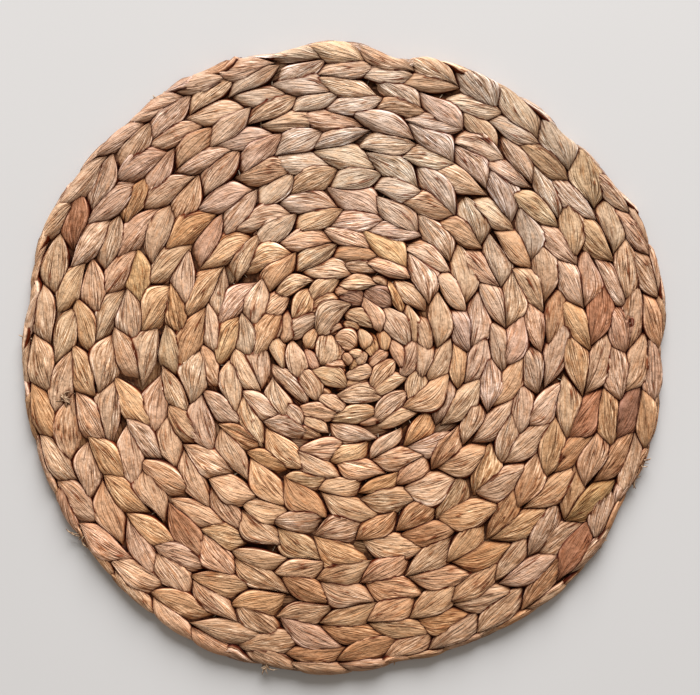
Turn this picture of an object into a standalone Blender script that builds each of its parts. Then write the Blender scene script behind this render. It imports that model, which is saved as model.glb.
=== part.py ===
"""Round table mat, lying flat: one long plait wound into a coil and sewn turn to turn.

A standalone Blender 4.5 script, in metres with +Z up. The whole mat is one flat solid: the rim
swells at every loop of the plait, it steps out where the plait's outer end is tucked in, and a
shallow spiral groove on the top and on the underside marks the seam between neighbouring turns.
The origin is the middle of the mat's underside, and the coil winds inwards clockwise from above.
"""

import math

import bmesh
import bpy
import numpy as np
from mathutils import Matrix, Vector

# Driving dimensions of the mat
THICKNESS = 0.010
RIM_ROUND = 0.0042
RIM_ROUND_STEPS = 2

# Radius of the rim before its loops are added, one value each 22.5 degrees.
# The first is at +X, and the rest follow clockwise as seen from above.
RIM_RADII = (
    0.1879, 0.1876, 0.1903, 0.1870,
    0.1885, 0.1920, 0.1902, 0.1890,
    0.1884, 0.1902, 0.1868, 0.1845,
    0.1824, 0.1805, 0.1850, 0.1866,
)
RIM_LOOPS = 39
LOOP_DEPTH = 0.0014
POINTS_PER_LOOP = 4

# Radius of the plait's centre line where each turn passes the four sides, outermost turn first.
COIL_TURNS = (
    # east,  south,  west,   north
    (0.1885, 0.1830, 0.1840, 0.1700),
    (0.1670, 0.1610, 0.1590, 0.1510),
    (0.1440, 0.1360, 0.1340, 0.1310),
    (0.1180, 0.1110, 0.1070, 0.1070),
    (0.0950, 0.0840, 0.0840, 0.0830),
    (0.0740, 0.0650, 0.0640, 0.0620),
    (0.0520, 0.0430, 0.0430, 0.0420),
    (0.0340, 0.0260, 0.0250, 0.0220),
    (0.0160, 0.0120, 0.0090, 0.0070),
)
SIDES = 4

# The plait's outer end: where it starts, as degrees clockwise past +X, and how it fades in.
END_DEGREES = -32.0
END_FADE_DEGREES = 34.0
END_STEP = 0.0052
END_STEP_DEGREES = 9.0

# The groove along the seam between two turns
SEAM_ROD_HALF = 0.0020
SEAM_DEPTH = 0.0016
SEAM_POINT_SPACING = 0.016
SEAM_POINTS_PER_TURN_LEAST = 14
SEAM_STOPS_BEFORE_CENTRE = 0.40
SEAM_OVERRUN = 0.006

# Faces of a flat fill that turn less than this, in radians, are one face.
FLAT_WITHIN = 0.0005

# Surface of dried plant stems
STEM_COLOUR = (0.50, 0.33, 0.20, 1.0)
STEM_ROUGHNESS = 0.75


def clear_scene():
    for obj in list(bpy.data.objects):
        bpy.data.objects.remove(obj, do_unlink=True)


def new_collection(name):
    collection = bpy.data.collections.new(name)
    bpy.context.scene.collection.children.link(collection)
    return collection


def smooth_step(value):
    """Rises from 0 to 1 with level ends as value goes from 0 to 1."""
    value = min(max(value, 0.0), 1.0)
    return value * value * (3.0 - 2.0 * value)


def through_points(values, position, closed):
    """A Catmull-Rom curve through evenly spaced values, read at a position counted in values."""
    count = len(values)
    start = math.floor(position)
    part = position - start
    near = []
    for offset in (-1, 0, 1, 2):
        index = start + offset
        near.append(values[index % count if closed else min(max(index, 0), count - 1)])
    before, first, second, after = near
    slope_in = 0.5 * (second - before)
    slope_out = 0.5 * (after - first)
    rise = second - first
    cubic = slope_in + slope_out - 2.0 * rise
    square = 3.0 * rise - 2.0 * slope_in - slope_out
    return first + part * (slope_in + part * (square + part * cubic))


def centre_line_radius(degrees):
    """The plait's centre line, by the degrees wound clockwise since the outermost turn passed +X."""
    radii = [radius for turn in COIL_TURNS for radius in turn]
    return through_points(radii, degrees * SIDES / 360.0, closed=False)


def end_step(degrees):
    """How far the outer end stands out of the rim, which fades as the turn settles in."""
    past_end = (degrees - END_DEGREES) % 360.0
    rise = smooth_step(past_end / END_STEP_DEGREES)
    fall = 1.0 - smooth_step((past_end - END_STEP_DEGREES) / END_FADE_DEGREES)
    return END_STEP * rise * fall


def rim_radius(degrees):
    base = through_points(RIM_RADII, degrees * len(RIM_RADII) / 360.0, closed=True)
    loop = abs(math.sin(math.radians(degrees) * RIM_LOOPS / 2.0))
    return base + LOOP_DEPTH * loop + end_step(degrees)


def seam_radius(degrees):
    """Half way between two turns, except that at the plait's end the seam runs out to the rim."""
    between = 0.5 * (centre_line_radius(degrees) + centre_line_radius(degrees + 360.0))
    faded_in = smooth_step((degrees - END_DEGREES) / END_FADE_DEGREES)
    outside = rim_radius(degrees) + SEAM_OVERRUN
    return outside + (between - outside) * faded_in


def on_coil(radius, degrees, height=0.0):
    """A point at this radius, the given degrees clockwise from +X."""
    angle = math.radians(degrees)
    return Vector((radius * math.cos(angle), -radius * math.sin(angle), height))


def rim_outline():
    count = RIM_LOOPS * POINTS_PER_LOOP
    step = 360.0 / count
    return [on_coil(rim_radius(i * step), i * step) for i in range(count)]


def seam_route(height):
    """Points along the spiral seam at this height, closer together where it is tightly wound."""
    last = 360.0 * (len(COIL_TURNS) - 1 - SEAM_STOPS_BEFORE_CENTRE)
    degrees = END_DEGREES
    route = []
    while degrees < last:
        radius = seam_radius(degrees)
        route.append(on_coil(radius, degrees, height))
        by_length = math.degrees(SEAM_POINT_SPACING / radius)
        degrees += min(by_length, 360.0 / SEAM_POINTS_PER_TURN_LEAST)
    return route


def poly_curve(name, points, closed):
    """A curve object with one POLY spline through these points."""
    curve = bpy.data.curves.new(name, "CURVE")
    spline = curve.splines.new("POLY")
    spline.points.add(len(points) - 1)
    for target, point in zip(spline.points, points):
        target.co = (*point, 1.0)
    spline.use_cyclic_u = closed
    return bpy.data.objects.new(name, curve)


def made_mesh(curve_object, collection):
    """The curve's evaluated shape as a welded mesh object of the same name, in its place."""
    name = curve_object.name
    collection.objects.link(curve_object)
    bpy.context.view_layer.update()
    graph = bpy.context.evaluated_depsgraph_get()
    mesh = bpy.data.meshes.new_from_object(curve_object.evaluated_get(graph))
    bpy.data.objects.remove(curve_object, do_unlink=True)
    shape = bmesh.new()
    shape.from_mesh(mesh)
    bmesh.ops.remove_doubles(shape, verts=shape.verts, dist=1e-6)
    bmesh.ops.recalc_face_normals(shape, faces=shape.faces)
    shape.to_mesh(mesh)
    shape.free()
    mesh.name = name
    made = bpy.data.objects.new(name, mesh)
    collection.objects.link(made)
    return made


def merge_flat_faces(obj):
    """Joins the triangles of a flat fill into one face, so that a bevel can follow its edge."""
    shape = bmesh.new()
    shape.from_mesh(obj.data)
    bmesh.ops.dissolve_limit(
        shape, angle_limit=FLAT_WITHIN, verts=shape.verts, edges=shape.edges
    )
    shape.to_mesh(obj.data)
    shape.free()


def middle_of(points):
    """The middle of the box around these points."""
    corners = np.array([tuple(point) for point in points])
    return Vector(0.5 * (corners.min(axis=0) + corners.max(axis=0)))


def coil_body(outline, centre, collection):
    """The flat disc inside the rim, with its upper and lower edges rounded."""
    curve_object = poly_curve("plaited_coil", [point - centre for point in outline], closed=True)
    curve = curve_object.data
    curve.dimensions = "2D"
    curve.fill_mode = "BOTH"
    curve.extrude = 0.5 * THICKNESS
    body = made_mesh(curve_object, collection)
    body.data.transform(Matrix.Translation((0.0, 0.0, 0.5 * THICKNESS)))
    merge_flat_faces(body)
    bevel = body.modifiers.new("rounded_rim", "BEVEL")
    bevel.width = RIM_ROUND
    bevel.segments = RIM_ROUND_STEPS
    bevel.limit_method = "ANGLE"
    bevel.angle_limit = math.radians(60.0)
    bevel.use_clamp_overlap = False
    return body


def seam_cutter(name, height, centre, collection):
    """A square rod on its edge along the seam: the part of it inside the mat is the groove."""
    route = [point - centre for point in seam_route(height)]
    curve_object = poly_curve(name, route, closed=False)
    curve = curve_object.data
    curve.dimensions = "3D"
    curve.twist_mode = "Z_UP"
    curve.bevel_depth = SEAM_ROD_HALF
    curve.bevel_resolution = 0
    curve.use_fill_caps = True
    cutter = made_mesh(curve_object, collection)
    cutter.hide_render = True
    cutter.display_type = "WIRE"
    return cutter


def cut_seam(body, cutter):
    """Both meshes are closed, and the exact solver fails on so long a groove in one flat face."""
    cut = body.modifiers.new(cutter.name, "BOOLEAN")
    cut.operation = "DIFFERENCE"
    cut.solver = "MANIFOLD"
    cut.object = cutter


def stem_material():
    material = bpy.data.materials.new("dried_stems")
    material.use_nodes = True
    shader = material.node_tree.nodes["Principled BSDF"]
    shader.inputs["Base Color"].default_value = STEM_COLOUR
    shader.inputs["Roughness"].default_value = STEM_ROUGHNESS
    shader.inputs["Metallic"].default_value = 0.0
    return material


def main():
    clear_scene()
    parts = new_collection("plaited_round_mat")
    cutters = new_collection("cutters")
    outline = rim_outline()
    centre = middle_of(outline)
    body = coil_body(outline, centre, parts)
    above = SEAM_ROD_HALF - SEAM_DEPTH
    cut_seam(body, seam_cutter("top_seam", THICKNESS + above, centre, cutters))
    cut_seam(body, seam_cutter("underside_seam", -above, centre, cutters))
    body.data.materials.append(stem_material())
    body.data.shade_smooth()
    body.data.set_sharp_from_angle(angle=math.radians(35.0))


main()
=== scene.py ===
"""Looks of the round plaited placemat: every loop of its coiled plait, the seam thread and stray fibres.

The plait is wound clockwise inwards, as seen from above. A place on it is given by how far it is
wound, in degrees clockwise since the outermost turn passed +X, by its distance across from the
plait's centre line, and by its height over the mat's face, which rolls down round the rim.
"""

import math

import bpy
import numpy as np
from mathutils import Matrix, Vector

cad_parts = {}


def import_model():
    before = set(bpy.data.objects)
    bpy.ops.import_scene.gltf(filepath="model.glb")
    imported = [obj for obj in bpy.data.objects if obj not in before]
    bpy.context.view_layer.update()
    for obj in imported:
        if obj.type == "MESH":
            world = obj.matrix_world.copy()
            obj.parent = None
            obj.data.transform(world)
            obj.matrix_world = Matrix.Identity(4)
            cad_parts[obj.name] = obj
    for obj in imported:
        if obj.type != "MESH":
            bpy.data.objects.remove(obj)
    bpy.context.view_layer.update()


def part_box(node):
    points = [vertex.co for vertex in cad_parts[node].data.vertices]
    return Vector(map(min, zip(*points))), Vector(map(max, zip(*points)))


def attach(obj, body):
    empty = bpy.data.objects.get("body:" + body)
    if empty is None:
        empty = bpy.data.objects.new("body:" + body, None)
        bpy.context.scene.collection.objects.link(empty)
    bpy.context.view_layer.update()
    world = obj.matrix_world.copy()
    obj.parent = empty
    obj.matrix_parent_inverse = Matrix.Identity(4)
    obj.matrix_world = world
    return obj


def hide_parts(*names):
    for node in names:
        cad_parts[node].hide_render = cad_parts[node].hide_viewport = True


MM = 0.001
MAT = "plaited_coil"
BODY = "root"
SEED = 785

# The coil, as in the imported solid: the plait's centre line where each turn passes the four sides.
COIL_TURNS = (
    # east,  south,  west,   north
    (0.1885, 0.1830, 0.1840, 0.1700),
    (0.1670, 0.1610, 0.1590, 0.1510),
    (0.1440, 0.1360, 0.1340, 0.1310),
    (0.1180, 0.1110, 0.1070, 0.1070),
    (0.0950, 0.0840, 0.0840, 0.0830),
    (0.0740, 0.0650, 0.0640, 0.0620),
    (0.0520, 0.0430, 0.0430, 0.0420),
    (0.0340, 0.0260, 0.0250, 0.0220),
    (0.0160, 0.0120, 0.0090, 0.0070),
)
# How many loops of the plait lie in each of those turns, with one more turn before the first
LOOPS_IN_TURN = (40.0, 39.0, 37.0, 32.0, 27.5, 21.5, 17.0, 12.5, 8.5, 5.0)
WOUND_DEGREES = 7.9 * 360.0

# The rim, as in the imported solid: its radius before its loops and its step are added, one value
# each 22.5 degrees clockwise from +X
RIM_RADII = (
    0.1879, 0.1876, 0.1903, 0.1870,
    0.1885, 0.1920, 0.1902, 0.1890,
    0.1884, 0.1902, 0.1868, 0.1845,
    0.1824, 0.1805, 0.1850, 0.1866,
)
# What the solid's rim leaves out: dips of the real rim, and two bulges with a depth below zero
RIM_NOTCHES = (
    # degrees clockwise from +X, depth, half width in degrees
    (0.0, 0.0022, 4.0),
    (15.0, -0.0018, 6.0),
    (30.0, 0.0026, 4.0),
    (80.0, 0.0026, 4.0),
    (190.0, 0.0028, 7.0),
    (228.0, 0.0023, 5.0),
    (236.5, 0.0012, 3.0),
    (245.0, 0.0022, 3.5),
    (258.0, 0.0042, 6.0),
    (280.0, 0.0066, 5.0),
    (301.0, -0.0006, 3.0),
    (308.0, 0.0008, 4.0),
    (315.5, 0.0042, 3.5),
)
RIM_LOOPS = 39
LOOP_DEPTH = 0.0014
# The plait's outer end: the winding it starts at, and how its step rises and fades
END_DEGREES = -32.0
END_FADE_DEGREES = 34.0
END_STEP = 0.0052
END_STEP_DEGREES = 9.0

# The plait's half width, and how its loops roll down round the rim
HALF_PLAIT = 12.2 * MM
ROLL_RADIUS = 4.5 * MM
EDGE_ROLL = 1.5
# No loop goes deeper than this share of half the thickness, so none comes out on the other face.
DEEPEST = -0.95

# One loop of stem runs from its tail on a seam to its head on the plait's centre line. Its length
# is in pitches of the plait. The loop before it covers its tail, and it covers the next one's.
# Tail and head are shares of the half width. Its width is a factor on the room at its two sides,
# where 2 fills it, and is more on the underside, where no lower stems fill the gaps.
LOOP_LENGTH = 1.52
LOOP_WIDTH = 2.0
UNDER_WIDTH = 2.7
LOOP_TAIL = 1.08
LOOP_HEAD = -0.02
LOOP_CURVE = 0.4
# The inner column's loops lie this share of a pitch further on.
INNER_COLUMN_ON = 0.12
LOOP_CROWN = 3.9 * MM
LOOP_BELLY = 0.9 * MM
OVER_LINE = 1.24
OVER_SEAM = 1.26
HEAD_DIVE = 1.6 * MM
TAIL_DIVE = 1.2 * MM
COVERED_DIVE = 3.8 * MM
COVERED_LEAD = 4.5 * MM

# The lower layer of stems, seen through gaps in the top: it lies this much lower, half a loop on,
# and the last factor darkens its colour as painted shade in the gaps. It is pressed down to
# HIDDEN_BELOW under the loops over it, but not in a gap, where they lie so much lower that
# HIDDEN_GAP is passed.
HIDDEN_SUNK = 3.6 * MM
HIDDEN_BELOW = 0.6 * MM
HIDDEN_GAP = 2.6 * MM
HIDDEN_SHADE = 0.38
# A number that no loop has, and that isn't the -1 of a place with no loop
NO_LOOP = -2

# The strands crossing inside the plait: grid rows and columns, half thickness, and gap to the rim
INNER_GRID = (40, 180)
INNER_HALF = 0.7 * MM
INNER_MARGIN = 3.5 * MM

# Stitches across the seam: the windings they lie between, their spacing and their shape
STITCH_FROM_DEGREES = 20.0
STITCH_TO_DEGREES = WOUND_DEGREES - 420.0
STITCH_SPACING = 11.0 * MM
STITCH_HALF = 4.2 * MM
STITCH_OVER = -3.5 * MM
STITCH_SAG = 1.6 * MM
STITCH_RADIUS = 0.25 * MM

# Painted shade darkens crevices narrower than the first, and more faintly hollows narrower than the
# second.
CREVICE_REACH = 2.0 * MM
HOLLOW_REACH = 7.0 * MM

# The grid on a loop: steps along it, points over its upper side and points under it
TOP_GRID = (30, 23, 4)
UNDER_GRID = (14, 8, 3)
HIDDEN_GRID = (12, 7, 2)

# Floor, light and camera
FLOOR_SIZE = 6.0
FLOOR_BELOW = 0.2 * MM
WINDOW_PLACE = (0.45, 4.5, 2.7)
WINDOW_SIZE = 4.2
WINDOW_WATTS = 530.0
WINDOW_COLOUR = (1.0, 0.993, 0.98)
ROOM_COLOUR = (1.0, 0.92, 0.81)
ROOM_STRENGTH = 0.30
CAMERA_DISTANCE = 0.90
CAMERA_TILT = math.radians(1.0)
CAMERA_AIM = (3.6 * MM, 4.6 * MM)
VIEW_WIDTH = 0.4106
SENSOR_WIDTH = 36.0


def linear(red, green, blue):
    """Linear colour from 0 to 255 display values."""
    shares = [c / 255.0 for c in (red, green, blue)]
    return np.array([s / 12.92 if s < 0.04045 else ((s + 0.055) / 1.055) ** 2.4 for s in shares])


# ---- the coil

def through_points(values, position, closed):
    """A Catmull-Rom curve through evenly spaced values, read at positions counted in values."""
    values = np.asarray(values)
    count = len(values)
    position = np.asarray(position, float)
    start = np.floor(position).astype(int)
    part = position - start
    near = []
    for offset in (-1, 0, 1, 2):
        index = start + offset
        near.append(values[index % count if closed else np.clip(index, 0, count - 1)])
    before, first, second, after = near
    slope_in = 0.5 * (second - before)
    slope_out = 0.5 * (after - first)
    rise = second - first
    cubic = slope_in + slope_out - 2.0 * rise
    square = 3.0 * rise - 2.0 * slope_in - slope_out
    return first + part * (slope_in + part * (square + part * cubic))


def smooth_step(value):
    value = np.clip(value, 0.0, 1.0)
    return value * value * (3.0 - 2.0 * value)


def centre_line(degrees):
    """Radius of the plait's centre line on the upper face."""
    radii = [radius for turn in COIL_TURNS for radius in turn]
    return through_points(radii, np.asarray(degrees) * 4.0 / 360.0, closed=False)


def end_step(degrees):
    past_end = (np.asarray(degrees) - END_DEGREES) % 360.0
    rise = smooth_step(past_end / END_STEP_DEGREES)
    fall = 1.0 - smooth_step((past_end - END_STEP_DEGREES) / END_FADE_DEGREES)
    return END_STEP * rise * fall


def rim(degrees, loop_depth=0.5 * LOOP_DEPTH):
    """Radius of the rim with its notches and its step, but half the depth of its loops all round."""
    degrees = np.asarray(degrees, float)
    base = through_points(RIM_RADII, degrees * len(RIM_RADII) / 360.0, closed=True)
    for middle, depth, spread in RIM_NOTCHES:
        away = ((degrees - middle + 180.0) % 360.0 - 180.0) / spread
        base = base - depth * np.exp(-away * away)
    return base + loop_depth + end_step(degrees)


def looped_rim(degrees):
    return rim(degrees, LOOP_DEPTH * np.abs(np.sin(np.radians(degrees) * RIM_LOOPS / 2.0)))


def half_width(degrees, side, line=centre_line):
    """Distance from the plait's centre line to its outer (side 1) or inner (side -1) seam."""
    degrees = np.asarray(degrees, float)
    to_seam = 0.5 * np.abs(line(degrees - side * 360.0) - line(degrees))
    if side < 0:
        return to_seam
    round_rim = rim(degrees) - ROLL_RADIUS + EDGE_ROLL * ROLL_RADIUS - line(degrees)
    free = np.maximum(HALF_PLAIT, np.minimum(round_rim, 1.4 * HALF_PLAIT))
    fade = 0.55 + 0.45 * smooth_step((degrees - END_DEGREES) / 60.0)
    return np.where(degrees < 360.0 + END_DEGREES, free * fade, to_seam)


def underside_line(degrees):
    """Radius of the centre line on the underside: the roll round the rim pushes it inwards."""
    degrees = np.asarray(degrees, float)
    top_edge = centre_line(degrees) + half_width(degrees, 1)
    flat_to = rim(degrees) - ROLL_RADIUS
    rolled = np.clip((top_edge - flat_to) / ROLL_RADIUS, 0.0, math.pi)
    pushed = flat_to + ROLL_RADIUS * (math.pi - rolled) - HALF_PLAIT
    inner_seam = 0.5 * (centre_line(degrees) + centre_line(degrees + 360.0))
    pushed = np.maximum(pushed, inner_seam + 0.5 * HALF_PLAIT)
    outermost = 1.0 - smooth_step((degrees - 300.0) / 60.0)
    return centre_line(degrees) * (1.0 - outermost) + pushed * outermost


def loops_wound(degrees):
    """How many loops the plait has made by this winding."""
    total = np.cumsum((-LOOPS_IN_TURN[0], *LOOPS_IN_TURN))
    return through_points(total, np.asarray(degrees) / 360.0 + 1.0, closed=False)


def windings_of_loops(phase):
    """The windings at which the loops of one column of the plait come to their heads."""
    fine = np.arange(END_DEGREES, WOUND_DEGREES, 0.25)
    counted = loops_wound(fine)
    numbers = np.arange(math.ceil(counted[0] - phase), math.floor(counted[-1] - phase) + 1)
    return np.interp(numbers + phase, counted, fine)


def pitch(degrees, line=centre_line):
    """Length of plait between one loop and the next."""
    per_degree = float(loops_wound(degrees + 1.0) - loops_wound(degrees - 1.0)) / 2.0
    return math.radians(1.0 / per_degree) * float(line(degrees))


class Face:
    """The mat's upper face (side 1) or its underside (side -1)."""

    def __init__(self, box, side):
        low, high = box
        self.side = side
        self.middle_z = 0.5 * (low[2] + high[2])
        self.half = 0.5 * (high[2] - low[2])
        self.line = centre_line if side > 0 else underside_line
        every = np.arange(0.0, 360.0, 360.0 / (4 * RIM_LOOPS))
        angles = np.radians(every)
        xs = looped_rim(every) * np.cos(angles)
        ys = -looped_rim(every) * np.sin(angles)
        self.coil_x = 0.5 * (low[0] + high[0]) - 0.5 * (xs.min() + xs.max())
        self.coil_y = 0.5 * (low[1] + high[1]) - 0.5 * (ys.min() + ys.max())

    def place(self, degrees, unrolled, over):
        """The points at this winding, this radius measured along the face, and height over it."""
        flat_to = rim(degrees) - ROLL_RADIUS
        roll = np.clip((unrolled - flat_to) / ROLL_RADIUS, 0.0, math.pi)
        beyond = np.maximum(unrolled - flat_to - math.pi * ROLL_RADIUS, 0.0)
        arm = self.half + np.maximum(over, DEEPEST * self.half)
        radius = np.minimum(unrolled, flat_to) + arm * np.sin(roll) - beyond
        angles = np.radians(degrees)
        x = self.coil_x + radius * np.cos(angles)
        y = self.coil_y - radius * np.sin(angles)
        z = self.middle_z + self.side * arm * np.cos(roll)
        return np.stack([x, y, np.maximum(z, self.middle_z - self.half)], axis=-1)


# ---- loops of stem

class Loop:
    """One visible loop of stem on a face, with the numbers that set it apart from its neighbours."""

    def __init__(self, rng, face, length, width):
        self.face = face
        self.length = length * rng.normal(1.0, 0.07)
        self.reach_line, self.reach_seam = 0.5 * width * rng.normal(1.0, 0.09, 2)
        self.peak_line, self.peak_seam = 0.42, 0.56
        self.covered_to = None
        self.winding = WOUND_DEGREES
        self.seed = rng.uniform(0.0, 100.0)
        self.lift = rng.normal(0.0, 0.30) * MM
        self.roll = rng.normal(0.0, 0.10)
        self.bend = rng.normal(0.0, 0.9) * MM
        self.turn = math.radians(rng.normal(0.0, 3.2))
        self.peak_shift = rng.normal(0.0, 0.045)
        self.fullness = rng.uniform(1.02, 1.38)
        self.square = 0.0
        self.ridge = rng.uniform(0.4, 1.3) * MM * (rng.uniform() < 0.7)
        self.ridge_at = rng.uniform(-0.45, 0.45)
        self.ridge_drift = rng.normal(0.0, 0.35)
        self.folds = rng.uniform(1.3, 3.0)
        self.fold_depth = rng.uniform(0.15, 0.75) * MM
        self.phases = rng.uniform(0.0, 1.0, 6)
        self.crumple = 0.0
        self.split = 0.0
        self.split_at = rng.uniform(-0.35, 0.35)
        kind = rng.uniform()
        if kind < 0.16:
            self.fold_depth *= 0.25
        elif kind < 0.24:
            self.crumple = rng.uniform(0.2, 0.4) * MM
        elif kind < 0.34:
            self.split = rng.uniform(0.5, 0.9) * MM
        self.kind = "usual"
        self.tint = np.ones(3)
        self.grid = {}
        self.over_points = 0
        self.tail_out, self.head_out = rng.normal(0.0, 0.06, 2)

    def fit(self, last_head, next_tail):
        """Spreads it to where the last loop's head and the next one's tail lie, along and across it."""
        least, most = 0.14 * self.length, 0.27 * self.length
        along, across = last_head
        across = min(max(across, least), most)
        self.peak_line = float(np.clip(along / self.length, 0.22, 0.5))
        self.reach_line *= OVER_LINE * across
        self.covered_to = (along, across)
        along, across = next_tail
        self.peak_seam = float(np.clip(along / self.length, 0.48, 0.62))
        self.reach_seam *= OVER_SEAM * min(max(across, least), most)

    def relief(self, u, q):
        """Height of its folds, its crumples, its ridge and its split, at u along and q across."""
        a, b, c, d, e, f = self.phases
        sway = 0.35 * np.sin(math.pi * (1.4 * u + 2.0 * a))
        sway = sway + 0.15 * np.sin(math.pi * (3.7 * u + 2.0 * b))
        wave = np.abs(np.sin(math.pi * (q * self.folds + c + sway)))
        fine = np.abs(np.sin(math.pi * (q * self.folds * 1.9 + d - 0.7 * sway + 0.3 * u)))
        height = -self.fold_depth * ((1.0 - wave) ** 2 + 0.45 * (1.0 - fine) ** 2)
        ripple = np.sin(math.pi * (9.0 * u + 1.5 * q * math.sin(9.0 * e) + 2.0 * f))
        height = height + self.crumple * ripple * np.sin(math.pi * (3.0 * q + 4.0 * u + e))
        from_ridge = np.abs(q - self.ridge_at - self.ridge_drift * (u - 0.5))
        height = height + self.ridge * (0.35 - from_ridge)
        gap = (q - self.split_at - 0.08 * np.sin(4.0 * u + 6.0 * e)) / 0.10
        return height - 1.3 * self.split * np.exp(-gap * gap)

    def outline(self, u, peak):
        """Share of its full reach to one side, at u along it, with the most at the peak."""
        power = math.log(0.5) / math.log(peak + self.peak_shift)
        return np.sin(math.pi * u ** power) ** (self.fullness * (1.0 - 0.6 * self.square))

    def sunk(self, u, reach):
        """How far it dips: at its head, at its tail, and under the loop that covers its tail."""
        dip = HEAD_DIVE * smooth_step((u - 0.78) / 0.22)
        dip = dip + TAIL_DIVE * smooth_step((0.25 - u) / 0.25)
        if self.covered_to is None:
            return dip
        along, across = self.covered_to
        inside = (-along * reach - across * u * self.length) / math.hypot(along, across)
        return dip + COVERED_DIVE * smooth_step((inside + COVERED_LEAD) / (2.0 * COVERED_LEAD))

    def section(self, grid):
        """u along, q across, the sideways reach and the height over the face, on the loop's grid."""
        along, over_points, under_points = grid
        self.over_points = over_points
        steps = np.linspace(0.0, 1.0, along)
        crowded = 0.5 - 0.5 * np.cos(math.pi * (0.02 + 0.96 * steps))
        u = 0.5 * crowded + 0.5 * (0.008 + 0.984 * steps)
        over = math.pi * np.arange(over_points) / over_points
        under = math.pi + math.pi * np.arange(under_points) / under_points
        u, angle = np.meshgrid(u, np.concatenate([over, under]), indexing="ij")
        q = np.sign(np.cos(angle)) * np.abs(np.cos(angle)) ** 0.80
        swell = np.maximum(1.0 - np.abs(q) ** 3.4, 0.0) ** 0.45
        reach = q * np.where(q > 0.0, self.reach_seam * self.outline(u, self.peak_seam),
                             self.reach_line * self.outline(u, self.peak_line))
        fat = np.sin(math.pi * u) ** np.where(u > 0.5, 0.25, 0.42)
        middle = self.lift - LOOP_CROWN - self.sunk(u, reach) + self.roll * reach
        relief = self.relief(u, q) * np.sin(math.pi * u) ** 0.5 * swell ** 0.7
        crown = LOOP_CROWN * fat * swell + relief
        belly = -LOOP_BELLY * fat * swell
        height = middle + np.where(np.sin(angle) >= 0.0, crown, belly)
        self.grid = {"u": u, "q": q}
        return u, q, reach, height

    def upper_side(self):
        """Its unrolled points from one edge over the top to the other."""
        return self.grid["flat"][:, :self.over_points + 1]

    def middle(self):
        """The middle of its unrolled points, from the coil's centre."""
        return self.grid["flat"].reshape(-1, 3).mean(axis=0)[:2]

    def keep(self, points, flat, flip):
        self.grid.update(points=points, flat=flat, flip=flip)


def on_flat(degrees, unrolled):
    """The place on the unrolled face, from the coil's centre, at this winding and radius."""
    angle = math.radians(float(degrees))
    return np.array([math.cos(angle), -math.sin(angle)]) * float(unrolled)


def lay_loop(loop, middle, heading, length, mirrored, arch, grid):
    """Lays a loop on the unrolled face, with its middle there and its own way across mirrored or not."""
    u, q, reach, over = loop.section(grid)
    hand = -1.0 if mirrored else 1.0
    sideways = hand * (reach + loop.bend * np.sin(math.pi * u)) + arch * 4.0 * u * (1.0 - u)
    stretch = (u - 0.5) * length
    x = middle[0] + stretch * math.cos(heading) - sideways * math.sin(heading)
    y = middle[1] + stretch * math.sin(heading) + sideways * math.cos(heading)
    degrees, unrolled = -np.degrees(np.arctan2(y, x)), np.hypot(x, y)
    points = loop.face.place(degrees, unrolled, over)
    loop.keep(points, np.stack([x, y, over], axis=-1), loop.face.side * hand > 0)


def lay_in_plait(loop, degrees, side, step, grid):
    """Puts a loop in the outer (side 1) or inner (side -1) column, with its head at a winding."""
    line = loop.face.line
    radius = float(line(degrees - math.degrees(0.5 * loop.length / float(line(degrees)))))
    start = degrees - math.degrees(loop.length / radius)
    turn = math.degrees(step / radius)
    half = float(half_width(0.5 * (degrees + start), side, line))
    tail = on_flat(start, line(start) + side * (LOOP_TAIL + loop.tail_out) * half)
    head = on_flat(degrees, line(degrees) + side * (LOOP_HEAD + loop.head_out) * half)
    chord = head - tail
    loop.length = float(np.linalg.norm(chord))
    ahead = chord / loop.length
    across = side * np.array([-ahead[1], ahead[0]])
    last_head = on_flat(degrees - turn, line(degrees - turn)) - tail
    next_tail = on_flat(start + turn, line(start + turn) + side * half) - tail
    loop.fit((last_head @ ahead, -last_head @ across), (next_tail @ ahead, next_tail @ across))
    heading = math.atan2(chord[1], chord[0]) + loop.turn
    sagitta = loop.length ** 2 / (8.0 * radius)
    outwards = 0.5 * (tail + head) / np.linalg.norm(0.5 * (tail + head))
    middle = 0.5 * (tail + head) + outwards * 0.65 * (1.0 - LOOP_CURVE) * sagitta
    lay_loop(loop, middle, heading, loop.length, side < 0, LOOP_CURVE * sagitta, grid)
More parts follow.
